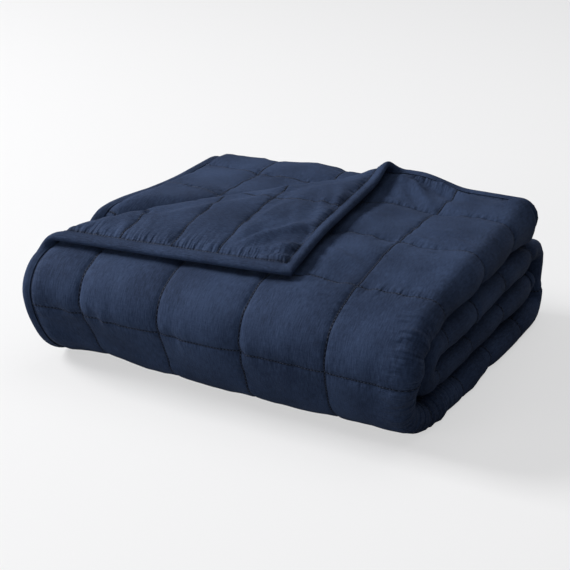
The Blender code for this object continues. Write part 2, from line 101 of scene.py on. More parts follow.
# and along the length, from the hem on top to the hem inside the fold
ROWS = (
    (EDGE_FLAT, 0.005, False), (0.097, 0.0050, True), (0.1375, 0.0050, True), (0.1375, 0.0050, True),
    (0.123, 0.0050, True), (0.124, 0.0050, True),
    (0.107, 0.0130, True), (0.107, 0.0160, True), (0.107, 0.0130, True),
    (0.114, 0.0095, True), (0.114, 0.0095, True),
    (0.107, 0.0130, True), (0.107, 0.0130, True), (0.107, 0.0130, True),
    (0.114, 0.0060, True),
    (0.117, 0.0140, True), (0.117, 0.0140, True), (0.117, 0.0140, False), (EDGE_FLAT, 0.005, True),
)
FLAP_ALONG = np.array((0.0, 0.192, 0.354, 0.60))             # the other face's lines, in u
FLAP_ACROSS = np.array((0.0, 0.131, 0.210, 0.300, 0.60))     # and in v


def cuts_and_seams(stretches, extra):
    """Positions of all mesh lines, and of the stitch lines among them.

    A stretch is parted where an extra line falls inside it. In each part the share t, from 0 to 1, is
    drawn towards both ends: t - 0.5 sin(2 pi t) / (2 pi).
    """
    cuts, seams = [0.0], [0.0]
    for width, cell, stitched in stretches:
        first, last = cuts[-1], cuts[-1] + width
        for end in [x for x in extra if first + 0.003 < x < last - 0.003] + [last]:
            start, count = cuts[-1], max(2, round((end - cuts[-1]) / cell))
            share = np.linspace(0.0, 1.0, count + 1)[1:]
            share = share - 0.5 * np.sin(2 * math.pi * share) / (2 * math.pi)
            cuts += list(start + (end - start) * share)
        if stitched:
            seams.append(cuts[-1])
    return np.array(cuts), np.array(seams)


U_CUTS, U_SEAMS = cuts_and_seams(COLUMNS, FLAP_ALONG[1:-1])
V_CUTS, V_SEAMS = cuts_and_seams(ROWS, FLAP_ACROSS[1:-1])
WIDTH, LENGTH = float(U_CUTS[-1]), float(V_CUTS[-1])
print(f"flat blanket {WIDTH:.3f} x {LENGTH:.3f} m, grid {len(U_CUTS)} x {len(V_CUTS)}")

# %% [markdown]
# ## The path of the roll
#
# Seen from the side, the folded strip is a winding line: along the top, round the front, back along the
# bottom, up at the back, forward again, round a tight turn, and back inside. A straight top, a fat
# superellipse for the front and half circles for the turns give that line, and we walk along it at an
# even step, so that a distance on the cloth is a distance on the path.

# %% The path
DROOP_RADIUS, DROOP_TURN, DROOP_START = 0.070, 75.0, 0.012
FRONT_Y, FRONT_Z, SHOULDER, HEEL, ROLL_EXPONENT = 0.022, 0.116, 0.245, 0.085, 2.6
TOP_Z, SECOND_Z, THIRD_Z, BOTTOM_Z = 0.186, 0.124, 0.072, 0.018
TOP_HEM_Y, BACK_TURN_Y, BACK_WAIST, INNER_TURN_Y = 0.491, 0.470, 0.022, 0.106


def superellipse(centre_y, centre_z, half_y, half_z, start, stop, count=60):
    """A superellipse quarter: y and z follow the 2/exponent powers of cosine and sine of the angle."""
    angle = np.radians(np.linspace(start, stop, count))
    power = 2.0 / ROLL_EXPONENT
    y = centre_y - half_y * np.abs(np.cos(angle)) ** power
    z = centre_z + half_z * np.sign(np.sin(angle)) * np.abs(np.sin(angle)) ** power
    return np.column_stack([y, z])


def arc(centre_y, centre_z, radius, start, stop, count=40):
    """A circle's arc, with the angle in degrees measured from +Y towards +Z."""
    angle = np.radians(np.linspace(start, stop, count))
    return np.column_stack([centre_y + radius * np.cos(angle), centre_z + radius * np.sin(angle)])


def walked(points):
    """Distance along a line of points, up to each of them."""
    return np.concatenate([[0.0], np.cumsum(np.linalg.norm(np.diff(points, axis=0), axis=1))])


def strip_path():
    """The strip's middle line as points an even 2 mm apart: arc length, and (y, z)."""
    droop = arc(TOP_HEM_Y + DROOP_START, TOP_Z - DROOP_RADIUS, DROOP_RADIUS, 90 - DROOP_TURN, 90)
    front_top = superellipse(FRONT_Y + SHOULDER, FRONT_Z, SHOULDER, TOP_Z - FRONT_Z, 90, 0)
    front_low = superellipse(FRONT_Y + HEEL, FRONT_Z, HEEL, FRONT_Z - BOTTOM_Z, 0, -90)
    back_radius = (SECOND_Z - BOTTOM_Z) / 2
    back_turn = arc(BACK_TURN_Y, BOTTOM_Z + back_radius, back_radius, -90, 90)
    height = (back_turn[:, 1] - BOTTOM_Z - back_radius) / back_radius
    back_turn[:, 0] -= BACK_WAIST * (1.0 - height ** 2) ** 2
    inner_radius = (SECOND_Z - THIRD_Z) / 2
    inner_turn = arc(INNER_TURN_Y, THIRD_Z + inner_radius, inner_radius, 90, 270)
    points = np.vstack([droop, front_top, front_low[1:], back_turn, inner_turn,
                        [[INNER_TURN_Y + LENGTH, THIRD_Z]]])
    points = points[np.concatenate([[True], np.diff(walked(points)) > 1e-6])]
    length = walked(points) - (DROOP_RADIUS * math.radians(DROOP_TURN) + DROOP_START)
    even = np.arange(round(length[0], 3) + 0.001, LENGTH + 0.2, 0.002)
    return even, np.column_stack([np.interp(even, length, points[:, i]) for i in (0, 1)])


PATH_S, PATH_YZ = strip_path()
PATH_T = np.gradient(PATH_YZ, PATH_S, axis=0)
for _ in range(3):             # ease the corners where one curve meets the next
    PATH_T[1:-1] = (PATH_T[:-2] + 2 * PATH_T[1:-1] + PATH_T[2:]) / 4
PATH_ANGLE = np.unwrap(np.arctan2(PATH_T[:, 1], PATH_T[:, 0]))
print(f"path of {len(PATH_S)} points, turning {math.degrees(PATH_ANGLE[-1] - PATH_ANGLE[0]):.0f} degrees")

# %% [markdown]
# ## How thick the strip is along the path
#
# The strip is thick where it lies free on top and thin where it turns. We name a few places by where
# they are and let a straight interpolation fill in between.

# %% Thickness along the path
HALF_BY_PLACE = (              # y, z, half the thickness of the two plies
    (0.491, TOP_Z, 0.033), (0.210, 0.185, 0.033), (0.125, 0.1795, 0.026), (0.060, 0.168, 0.028),
    (0.022, FRONT_Z, 0.029), (0.030, 0.060, 0.026), (0.300, BOTTOM_Z, 0.024), (0.455, BOTTOM_Z, 0.023),
    (0.500, 0.031, 0.019), (0.500, 0.114, 0.019), (0.430, SECOND_Z, 0.025), (0.150, SECOND_Z, 0.025),
    (0.100, 0.123, 0.0235), (0.100, 0.073, 0.0235), (0.150, THIRD_Z, 0.0225), (0.480, THIRD_Z, 0.0225),
)
HALF_S = np.array([PATH_S[int(np.argmin(np.hypot(PATH_YZ[:, 0] - y, PATH_YZ[:, 1] - z)))]
                   for y, z, _ in HALF_BY_PLACE])
HALF_VALUE = np.array([half for _, _, half in HALF_BY_PLACE])


def half_thickness(v):
    """Half the thickness of the two-ply strip at arc length v."""
    return np.interp(v, HALF_S, HALF_VALUE)


print("thickness is known at", np.round(HALF_S, 2))

# %% [markdown]
# ## Turning the corner over
#
# The corner is turned over a slanting crease. A turned cloth is a roller: past the crease it goes round
# half a circle and then runs back on top. The roller is tight at the left and in the middle, and wider
# at the back, where the heavy hem resists.

# %% The crease
CREASE_LEFT_V, CREASE_BACK_U = 0.448, 0.402
TIP_U, TIP_V = 0.403, 0.404
ROLL_LEFT, ROLL_MIDDLE, ROLL_BACK = 0.0095, 0.0100, 0.0140

CREASE_A = np.array([0.0, CREASE_LEFT_V])
CREASE_B = np.array([CREASE_BACK_U, 0.0])
CREASE_LENGTH = float(np.linalg.norm(CREASE_B - CREASE_A))
CREASE_DIR = (CREASE_B - CREASE_A) / CREASE_LENGTH
CORNER_DIR = np.array([CREASE_DIR[1], -CREASE_DIR[0]])


def crease_coordinates(u, v):
    """Distance along the crease from its left end, and distance past it towards the corner."""
    du, dv = u - CREASE_A[0], v - CREASE_A[1]
    return tuple(du * way[0] + dv * way[1] for way in (CREASE_DIR, CORNER_DIR))


def roll_radius(along):
    """The roller's radius: a parabola through its values at the left end, the middle and the back."""
    share = np.clip(along / CREASE_LENGTH, 0.0, 1.0) * 2.0 - 1.0
    tilt, bend = (ROLL_BACK - ROLL_LEFT) / 2, (ROLL_BACK + ROLL_LEFT) / 2 - ROLL_MIDDLE
    return ROLL_MIDDLE + tilt * share + bend * share ** 2


CORNER_ALONG, CORNER_PAST = crease_coordinates(0.0, 0.0)
TIP_ALONG, TIP_PAST = crease_coordinates(TIP_U, TIP_V)
FLAP_SHEAR = (TIP_ALONG - CORNER_ALONG) / CORNER_PAST
FLAP_STRETCH = -TIP_PAST / (CORNER_PAST - math.pi * float(roll_radius(TIP_ALONG)))


def turn_corner(u, v, h):
    """With r the radius and a = past / r: (r - h) sin a out, r - (r - h) cos a up, then flat back."""
    along, past = crease_coordinates(u, v)
    turned = np.maximum(past, 0.0)
    moved = along + FLAP_SHEAR * turned
    radius = roll_radius(moved)
    angle = np.minimum(turned / radius, math.pi)
    beyond = np.maximum(turned - math.pi * radius, 0.0)
    out = (radius - h) * np.sin(angle) - beyond * FLAP_STRETCH
    up_by = radius - (radius - h) * np.cos(angle)
    flap = past > 0.0
    past = np.where(flap, out, past)
    new_u, new_v = (CREASE_A[i] + moved * CREASE_DIR[i] + past * CORNER_DIR[i] for i in (0, 1))
    return new_u, new_v, np.where(flap, up_by, h)


print(f"crease {CREASE_LENGTH:.3f} m, the turned corner is stretched {FLAP_STRETCH:.2f} times")

# %% [markdown]
# ## Folding in half and rolling up
#
# The side fold doubles the sheet: the outer ply runs above the strip's middle, goes round the right
# edge on a half circle and comes back below it. Then every point of the strip is carried along the path
# and pushed out along the path's normal by its height. Last, the pile settles: its lower levels, which
# carry the rest, lie a little shifted against the top.

# %% The folds
SIDE_FOLD_X = 0.642
HEM_SPREAD, HEM_SPREAD_LENGTH = 0.0075, 0.070    # the plies part at the top hem
SLIP, SLIP_PLACES, SLIP_SHARES = 0.110, (0.0, 0.256, 0.620), (1.0, 1.43, 0.30)    # the inner ply is turned
LIFT, LIFT_MORE, LIFT_PEAK = 0.018, 0.016, 0.014    # and rises so high where it is free
# a stretch is given as: start, how far it takes to rise, stop, how far it takes to fall
FLARE, FLARE_WIDTH, FLARE_ALONG = 0.010, 0.120, (0.400, 0.060, 0.620, 0.100)
PEAK_RISE, PEAK_LENGTH, PEAK_ACROSS = 0.016, 0.100, (0.330, 0.070, 0.510, 0.090)
LOFT_RISE, LOFT_X, LOFT_WIDTH, LOFT_ALONG = 0.018, 0.380, 0.300, (1.150, 0.090, 1.540, 0.120)
TUCK, TUCK_ALL, TUCK_X, TUCK_WIDTH = 0.019, 0.009, 0.400, 0.270    # the foot of the front lies back
REACH = 0.030                  # and the right end of the lower levels reaches further back
BOW, BOW_Y, BOW_HALF, ROUNDING = 0.005, 0.280, 0.220, 0.012    # their side hem bows, a corner is rounded
TOP_IN, BOTTOM_OUT = 0.009, 0.005    # where the top level and the bottom end at the back right
ORIGIN_X, ORIGIN_Y = 0.335, 0.254


def smooth(x):
    """0 below 0, 1 above 1, and 3x^2 - 2x^3 between."""
    x = np.clip(x, 0.0, 1.0)
    return x * x * (3.0 - 2.0 * x)


def rising(x, start, over):
    """0 up to start, then a smooth step up to 1 over that distance."""
    return smooth((x - start) / over)


def falling(x, stop, over):
    """A smooth step down to 0, which ends at stop and takes that distance."""
    return smooth((stop - x) / over)


def between(x, start, rise, stop, fall):
    """1 between start and stop: a step up past start times a step down to stop."""
    return rising(x, start, rise) * falling(x, stop, fall)


def blend(a, b, share):
    """From a, where share is 0, to b, where it is 1."""
    return a + (b - a) * share


def flare(x, v):
    """The side hem bulges out on the front roll: a soft stretch along the strip, a step across it."""
    return FLARE * between(v, *FLARE_ALONG) * falling(x, FLARE_WIDTH, FLARE_WIDTH)


def side_fold(u, v, h):
    """Fold in half: x along the strip, v along the path, k the height over the strip's middle."""
    ply = half_thickness(v) / 2 + HEM_SPREAD * falling(v, HEM_SPREAD_LENGTH, HEM_SPREAD_LENGTH)
    turned = np.clip((u - SIDE_FOLD_START) / SIDE_FOLD_CLOTH, 0.0, 1.0) * math.pi
    inner = np.maximum(u - SIDE_FOLD_START - SIDE_FOLD_CLOTH, 0.0)
    hem_x = SIDE_FOLD_X - SIDE_FOLD_START
    flat_x = np.where(u < SIDE_FOLD_START, hem_x + u, SIDE_FOLD_X - inner)
    x = flat_x + (ply + h) * np.sin(turned)
    k = (ply + h) * np.cos(turned)
    slip = SLIP * inner * np.interp(v, SLIP_PLACES, SLIP_SHARES)
    past = crease_coordinates(x - hem_x, v - slip)[1]
    lift = LIFT + LIFT_MORE * rising(v - slip, 0.080, 0.250)
    lift = lift + LIFT_PEAK * rising(x - hem_x, 0.050, 0.220) * falling(v, 0.200, 0.200)
    start = 0.010 - 0.030 * falling(v, 0.120, 0.120)
    k = k + lift * rising(past, start, 0.060) * (inner > 0.0)
    peak = between(x - hem_x, *PEAK_ACROSS) * falling(v, PEAK_LENGTH, PEAK_LENGTH)
    second = between(v, *LOFT_ALONG) * falling(x, LOFT_X, LOFT_WIDTH)
    k = k + (PEAK_RISE * peak + LOFT_RISE * second) * (inner == 0.0)
    return x - flare(x - hem_x, v - slip), v - slip, k


def roll_up(x, v, k):
    """Point of the path at v, plus k times its normal."""
    inside = np.clip(v, PATH_S[0], PATH_S[-1])
    angle = np.interp(inside, PATH_S, PATH_ANGLE)
    tangent_y, tangent_z = np.cos(angle), np.sin(angle)
    y = np.interp(inside, PATH_S, PATH_YZ[:, 0]) + tangent_y * (v - inside)
    z = np.interp(inside, PATH_S, PATH_YZ[:, 1]) + tangent_z * (v - inside)
    return x, y + tangent_z * k, z - tangent_y * k


def settle(x, y, z):
    """Shift the lower levels by products of soft steps and parabolas: the foot of the front and the right
    end of the back along Y, the side hem and the near right corner along X."""
    low = falling(z, 0.130, 0.080)
    tuck = TUCK_ALL + TUCK * np.clip((TUCK_X - x) / TUCK_WIDTH, 0.0, 1.2) ** 1.3
    tuck = tuck * (0.3 + 0.7 * rising(x, 0.040, 0.070)) * low * falling(y, 0.380, 0.300)
    reach = REACH * rising(x, 0.300, 0.300) * rising(y, 0.250, 0.250) * falling(z, 0.160, 0.030)
    bow = BOW * np.maximum(1.0 - ((y - BOW_Y) / BOW_HALF) ** 2, 0.0) * falling(x, 0.300, 0.250) * low
    corner = ROUNDING * np.clip((0.250 - y) / 0.200, 0.0, 1.0) ** 2 * rising(x, 0.450, 0.200) * low
    end = TOP_IN * rising(z, 0.150, 0.020) - BOTTOM_OUT * falling(z, 0.065, 0.020)
    end = end * rising(x, 0.500, 0.150) * rising(y, 0.250, 0.200)
    return x - bow - corner - end, y + tuck + reach, z


def fold(u, v, h):
    """Carry flat points through the three folds; the floor stops them at z = 0."""
    outer = u < SIDE_FOLD_START
    turned_u, turned_v, turned_h = turn_corner(u, v, h)
    x, y, z = settle(*roll_up(*side_fold(np.where(outer, turned_u, u), np.where(outer, turned_v, v),
                                         np.where(outer, turned_h, h))))
    return np.stack([x - ORIGIN_X, y - ORIGIN_Y, np.maximum(z, 0.0)], axis=-1)


print("the turned corner's tip lies at", fold(*np.zeros((3, 1))).round(3))

# %% [markdown]
# ## Soft irregularity
#
# Nothing sewn is even. We need a gentle random height field, the same on every run: random numbers on a
# lattice, joined smoothly. Puckers are the same field, squeezed along a seam.

# %% A smooth random field
LATTICE = 64                   # the field repeats after so many points
FULLNESS = 0.66                # a pocket's section: 1 is a sine, less is fuller


def ripple(x, y, size_x, size_y, seed):
    """Random heights in -1..1 at lattice points size_x by size_y apart, joined by smooth steps."""
    table = np.random.default_rng(seed).uniform(-1.0, 1.0, (LATTICE, LATTICE))
    gx, gy = x / size_x + 1000.0, y / size_y + 1000.0
    ix, iy = np.floor(gx).astype(int), np.floor(gy).astype(int)
    fx, fy = smooth(gx - ix), smooth(gy - iy)
    a, b, c, d = (table[(ix + i) % LATTICE, (iy + j) % LATTICE] for j in (0, 1) for i in (0, 1))
    return (a * (1 - fx) + b * fx) * (1 - fy) + (c * (1 - fx) + d * fx) * fy


def seam_distance(position, seams):
    """Distance to the nearest stitch line."""
    nearest = np.clip(np.searchsorted(seams, position), 1, len(seams) - 1)
    return np.minimum(np.abs(position - seams[nearest - 1]), np.abs(seams[nearest] - position))


def crown(position, seams):
    """Rise of a pocket between two stitch lines: sin(pi share) to the power FULLNESS."""
    position = np.clip(position, seams[0], seams[-1] - 1e-9)
    pocket = np.searchsorted(seams, position, side="right") - 1
    share = (position - seams[pocket]) / (seams[pocket + 1] - seams[pocket])
    return np.sin(math.pi * share) ** FULLNESS


def edge_distance(u, v):
    """Distance to the nearest of the four edges."""
    return np.minimum(np.minimum(u, WIDTH - u), np.minimum(v, LENGTH - v))


print("a few heights:", ripple(np.arange(4) * 0.01, np.zeros(4), 0.02, 0.02, 1).round(2))

# %% [markdown]
# ## The pad's thickness
#
# A pocket is fullest in its middle and is pinched at its stitch lines. The lines that run front to back
# are shallow on top and cut the deepest valleys round the front, down to where the pile's weight presses
# them flat. The turned corner has pockets of its own, because it shows the blanket's other face. Beside
# the free top hem the pad swells slowly, so that the hem stands out.

# %% Pocket heights
PLY_GAP = 0.003
ACROSS_DEPTH, ALONG_DEPTH, FOLD_DEPTH, INNER_EASE = 0.50, 0.37, 0.24, 0.45
TOP_EASE, TOP_END = 0.50, 0.36    # the share of that depth on top, and how far it holds
EDGE_RISE = 0.016              # cloth beside an edge in which the pad swells to its height
SLOW_RISE, SLOW_ACROSS = 0.045, (0.400, 0.020, 0.600, 0.040)    # and more of it at the top hem
CREASE_THICK, FLAP_THICK, UNDER_PRESS, HEEL_PRESS = 0.010, 0.020, 0.45, 0.15
HEEL_ALONG, CREASE_PAST = (0.545, 0.030, 0.680, 0.040), (-0.020, 0.016, 0.066, 0.020)


def on_flap(u, v):
    """0 on the blanket, 1 on the turned corner, changing over on the crease."""
    past = crease_coordinates(u, v)[1]
    return rising(past, 0.022, 0.016) * (u < SIDE_FOLD_START)


def under_flap(u, v):
    """1 well beneath the turned corner, 0 away from it."""
    inside = -crease_coordinates(u, v)[1]
    tip = np.array([TIP_U, TIP_V])
    middle = (CREASE_A + CREASE_B + tip) / 3
    for start, stop in ((CREASE_A, tip), (tip, CREASE_B)):
        side = (stop - start) / np.linalg.norm(stop - start)
        inward = np.array([side[1], -side[0]])
        inward *= np.sign(inward @ (middle - start))
        inside = np.minimum(inside, (u - start[0]) * inward[0] + (v - start[1]) * inward[1])
    return rising(inside, -0.020, 0.040)


def loft(u, v):
    """Thickness of the pad: the ply's room, pinched at the stitch lines, thin at crease and hem."""
    flap = on_flap(u, v)
    past = crease_coordinates(u, v)[1]
    outer = (u < SIDE_FOLD_START).astype(float)
    ply = half_thickness(v) - PLY_GAP
    ply = blend(ply, FLAP_THICK, flap)
    across = blend(crown(u, U_SEAMS), crown(u, FLAP_ALONG), flap)
    along = blend(crown(v, V_SEAMS), crown(v, FLAP_ACROSS), flap)
    ply = ply * (1.0 - UNDER_PRESS * under_flap(u, v) * outer * (past < 0.0))
    heel = between(v, *HEEL_ALONG) * falling(u, 0.660, 0.040)
    ply = ply * (1.0 - HEEL_PRESS * heel)
    ease = 1.0 - INNER_EASE * rising(u, SIDE_FOLD_START, SIDE_FOLD_CLOTH)
    off_fold = np.abs(u - SIDE_FOLD_START - SIDE_FOLD_CLOTH / 2) - SIDE_FOLD_CLOTH / 2
    along_depth = blend(FOLD_DEPTH, ALONG_DEPTH * ease, smooth(off_fold / 0.050))
    along_depth = along_depth * (1.0 - 0.5 * np.exp(-((v - V_SEAMS[4]) / 0.06) ** 2))
    across_depth = ACROSS_DEPTH * ease * (1.0 - 0.6 * heel) * blend(TOP_EASE, 1.0, rising(v, TOP_END, 0.10))
    pad = ply * (1.0 - across_depth * (1.0 - across)) * (1.0 - along_depth * (1.0 - along))
    crease = between(past, *CREASE_PAST) * outer
    pad = blend(pad, np.minimum(pad, CREASE_THICK), crease)
    slower = SLOW_RISE * between(u, *SLOW_ACROSS) * (past < 0.0)
    rise = rising(edge_distance(u, v), EDGE_FLAT, EDGE_RISE + slower) ** 0.7
    return blend(EDGE_THICK, np.maximum(pad, EDGE_THICK), rise)


print(f"thickest pocket {loft(*np.meshgrid(U_CUTS, V_CUTS, indexing='ij')).max() * 1000:.0f} mm")

# %% [markdown]
# ## Creases, drag lines and where the thread gathers the cloth
#
# Soft creases run over all the cloth, broad ones, fine ones and slanting ones. Every line of thread lies
# in a narrow groove. Beside it the cloth is gathered, and the gathers crowd beside the hems. The turned
# corner has long drag lines near its tip, a fan of them spreads beside the raised end of the crease, and
# the cloth bunches where the pile turns down at the near right corner. Waves longer than about 12 mm are
# modelled here. The shortest gathers are finer than the mesh, so we only store how strong they are, and
# the material draws them.

# %% Distances to the thread
HEM_LINE = EDGE_FLAT + 0.0015    # the line that holds the binding, from the edge
LONG_REACH, CROSS_REACH, HEM_REACH = 0.008, 0.010, 0.018    # how far gathers run from their lines
CORNER_U, CORNER_V = (0.57, 0.04, 0.69, 0.04), (0.40, 0.05, 0.76, 0.08)    # the near right corner
CORNER_CREASED = (0.40, 0.05, 0.74, 0.06)


def line_distances(u, v):
    """Distance to the nearest line that runs along v, and to the nearest that runs along u."""
    flap = on_flap(u, v) > 0.5
    distances = []
    for x, size, flap_lines, lines in ((u, WIDTH, FLAP_ALONG, U_SEAMS), (v, LENGTH, FLAP_ACROSS, V_SEAMS)):
        to_line = np.where(flap, seam_distance(x, flap_lines), seam_distance(x, lines))
        distances.append(np.minimum(to_line, np.abs(np.minimum(x, size - x) - HEM_LINE)))
    return distances


def gathers(u, v):
    """How strongly the cloth is gathered, 0..1, beside lines along v and beside lines along u."""
    flap = on_flap(u, v)
    to_long, to_cross = line_distances(u, v)
    hem_u, hem_v = np.minimum(u, WIDTH - u) - EDGE_FLAT, np.minimum(v, LENGTH - v) - EDGE_FLAT
    uneven_long = 0.25 + 0.75 * ripple(u, v, 0.13, 0.055, 61) ** 2
    uneven_cross = 0.35 + 0.65 * ripple(u, v, 0.055, 0.13, 62) ** 2
    hem_long, hem_cross = ((0.4 + 0.6 * flap) * (0.25 + 0.75 * np.abs(ripple(u, v, 0.04, 0.04, seed)))
                           for seed in (63, 64))
    along_v = 0.85 * uneven_long * np.exp(-to_long / LONG_REACH) + hem_long * np.exp(-hem_u / HEM_REACH)
    along_u = 0.75 * uneven_cross * np.exp(-to_cross / CROSS_REACH) + hem_cross * np.exp(-hem_v / HEM_REACH)
    corner = between(u, *CORNER_U) * between(v, *CORNER_V)
    return np.clip(along_v + 0.7 * corner, 0.0, 1.0), np.clip(along_u, 0.0, 1.0)


beside_first = U_SEAMS[1] + np.linspace(0.0, 0.02, 4)
print("gathers beside the first line:", gathers(beside_first, np.full(4, 0.5))[0].round(2))

# %% Wrinkles
BROAD, FINE, SLANTING = 0.0014, 0.0008, 0.0024    # heights of the creases over all the cloth
BESIDE_LONG, BESIDE_CROSS, BESIDE = 0.0016, 0.0034, 0.016    # of the puckers at lines along v and u
GROOVE_LONG, GROOVE_CROSS = 0.0015, 0.0012    # depths of those lines' own grooves
HEM_GATHER, FLAP_GATHER = 0.0010, 0.0010    # beside any hem, and more on the turned corner
DRAG, PEAK_FAN, CORNER_GATHER = 0.0085, 0.0090, 0.0030
DRAG_U, DRAG_V, DRAG_REACH = 0.015, 0.140, (0.035, 0.040, 0.26, 0.14)    # the drag lines come from here
PEAK_U = CREASE_BACK_U + 0.010    # where the raised end of the crease meets the hem


def fan(u, v, centre_u, centre_v, spokes, seed):
    """Ridges that spread from a point: the random field read on the angle, fading with distance."""
    du, dv = u - centre_u, v - centre_v
    return ripple(np.arctan2(dv, du) * spokes, np.hypot(du, dv), 1.0, 0.12, seed)


def wrinkles(u, v, side):
    """Height added to one face of the pad (side +1 or -1), in metres."""
    flap = on_flap(u, v)
    seed = 20 if side > 0 else 40
    to_long, to_cross = line_distances(u, v)
    out = BROAD * ripple(u, v, 0.060, 0.085, seed) + FINE * ripple(u, v, 0.024, 0.036, seed + 1)
    slant = ripple(0.94 * u + 0.34 * v, 0.94 * v - 0.34 * u, 0.070, 0.012, seed + 2)
    out = out + SLANTING * slant * smooth(ripple(u, v, 0.11, 0.11, seed + 3) + 0.35)
    out = out + BESIDE_LONG * np.exp(-to_long / BESIDE) * ripple(u, v, 0.05, 0.015, seed + 4)
    out = out + BESIDE_CROSS * np.exp(-to_cross / BESIDE) * ripple(u, v, 0.015, 0.05, seed + 5)
    groove = GROOVE_LONG * np.exp(-(to_long / 0.0030) ** 2)
    groove = groove + GROOVE_CROSS * np.exp(-(to_cross / 0.0028) ** 2)
    from_edge = edge_distance(u, v)
    out = out - groove * (from_edge > 0.022)
    hem = np.maximum(from_edge - EDGE_FLAT, 0.0)
    along_hem = np.where(np.minimum(u, WIDTH - u) < np.minimum(v, LENGTH - v), v, u)
    gather = ripple(along_hem, hem, 0.0125, 0.04, seed + 6)
    out = out + (HEM_GATHER + FLAP_GATHER * flap) * gather * np.exp(-hem / 0.016) * smooth(hem / 0.003)
    if side < 0:
        reach = np.hypot(u - DRAG_U, v - DRAG_V)
        drag = flap * between(reach, *DRAG_REACH) * falling(v, FLAP_ACROSS[1], 0.020)
        out = out + DRAG * drag * fan(u, v, DRAG_U, DRAG_V, 7.0, seed + 7)
    else:
        spread = between(u, PEAK_U, 0.02, PEAK_U + 0.16, 0.08) * falling(v, 0.13, 0.06)
        out = out + PEAK_FAN * spread * fan(u, v, PEAK_U - 0.08, -0.03, 9.0, seed + 11)
        corner = between(u, *CORNER_U) * between(v, *CORNER_CREASED)
        out = out + CORNER_GATHER * corner * ripple(u, v, 0.04, 0.014, seed + 9)
    return out * rising(from_edge, EDGE_FLAT, 0.008)


print(f"wrinkles up to {1000 * np.abs(wrinkles(*np.meshgrid(U_CUTS, V_CUTS), 1)).max():.1f} mm")

# %% [markdown]
# ## The pad
#
# Two grids, one for each face, are lifted off the middle surface by half the thickness and folded. A
# strip of faces joins them all round the edge, so the pad is one closed skin. Its UV map is the flat
# position in metres, which is what the weave will be drawn on. Each point also stores how far the
# thread is, how strongly the cloth is gathered and whether it is on the turned corner.

# %% Grid helpers


def grid_faces(rows, columns, first, turned):
    """Quads of a rows by columns grid of vertices whose numbers start at first."""
    a = (np.arange(rows - 1)[:, None] * columns + np.arange(columns - 1)[None, :]).ravel() + first
    quads = np.stack([a, a + columns, a + columns + 1, a + 1], axis=1)
    return quads[:, ::-1] if turned else quads


def outline_numbers(rows, columns):
    """The grid's outline vertices, in order, as vertex numbers from 0."""
    number = np.arange(rows * columns).reshape(rows, columns)
    return np.concatenate([number[:-1, 0], number[-1, :-1], number[:0:-1, -1], number[0, :0:-1]])


def new_piece(name, points, quads, flat=None):
    """A smooth-shaded mesh object from points and quads; flat gives each vertex's UV in metres."""
    mesh = bpy.data.meshes.new(name)
    mesh.vertices.add(len(points))
    mesh.vertices.foreach_set("co", points.astype(np.float32).ravel())
    mesh.loops.add(quads.size)
    mesh.loops.foreach_set("vertex_index", quads.astype(np.int32).ravel())
    mesh.polygons.add(len(quads))
    mesh.polygons.foreach_set("loop_start", np.arange(0, quads.size, 4, dtype=np.int32))
    mesh.update(calc_edges=True)
    mesh.validate()
    if flat is not None:
        layer = mesh.uv_layers.new(name="flat")
        layer.uv.foreach_set("vector", flat[quads.ravel()].astype(np.float32).ravel())
    mesh.shade_smooth()
    piece = bpy.data.objects.new(name, mesh)
    scene.collection.objects.link(piece)
    print(f"{name}: {len(points)} vertices, {2 * len(quads)} triangles")
    return piece


# %% Build the pad
grid_u, grid_v = np.meshgrid(U_CUTS, V_CUTS, indexing="ij")
rows, columns = grid_u.shape
thickness = loft(grid_u, grid_v)
pad_points = np.concatenate([
    fold(grid_u, grid_v, side * (thickness / 2 + wrinkles(grid_u, grid_v, side))).reshape(-1, 3)
    for side in (1, -1)])
outline = outline_numbers(rows, columns)
following = np.roll(outline, -1)
count = rows * columns
rim = np.stack([outline, outline + count, following + count, following], axis=1)
pad_quads = np.concatenate([grid_faces(rows, columns, 0, False), grid_faces(rows, columns, count, True),
                            rim[:, ::-1]])
pad_flat = np.tile(np.stack([grid_u.ravel(), grid_v.ravel()], axis=1), (2, 1))
pad = new_piece("blanket_pad", pad_points, pad_quads, pad_flat)
stored_values = (*line_distances(grid_u, grid_v), *gathers(grid_u, grid_v), on_flap(grid_u, grid_v))
for label, values in zip(("line_long", "line_cross", "gather_long", "gather_cross", "flap"), stored_values):
    stored = pad.data.attributes.new(label, "FLOAT", "POINT")
    stored.data.foreach_set("value", np.tile(values.ravel(), 2).astype(np.float32))
print("stored on the pad:", len(stored_values), "numbers a point")

# %% [markdown]
# ## The binding
#
# The binding is one long strip, so it is a profile carried along a path: a rounded C that grips the
# edge, carried once round the four sides. It is pinched where its stitch line runs and swells between
# there and the edge, which makes the hem look like a soft cord.

# %% Profile and path of the binding
CLEAR = 0.0008                 # air between pad and binding
MITRE = 0.016                  # beside a corner the binding has no section for so long
INNER_HEIGHT = EDGE_THICK / 2 + CLEAR


def binding_profile():
    """Closed section as (inset from the edge, height): a swollen outside, and the slot inside."""
    angle = np.linspace(0.0, math.pi, 15)
    swell = np.stack([0.0058 - 0.0082 * np.sin(angle) ** 0.8, 0.0060 * np.cos(angle)], axis=1)
    top = np.array([(EDGE_FLAT, INNER_HEIGHT + 0.0008), (0.0115, INNER_HEIGHT + 0.0004),
                    (0.0098, INNER_HEIGHT + 0.0013)])
    slot = np.array([(EDGE_FLAT, -INNER_HEIGHT), (-CLEAR, -INNER_HEIGHT), (-CLEAR, INNER_HEIGHT),
                     (EDGE_FLAT, INNER_HEIGHT)])
    return np.concatenate([top, swell, top[::-1] * (1, -1), slot])


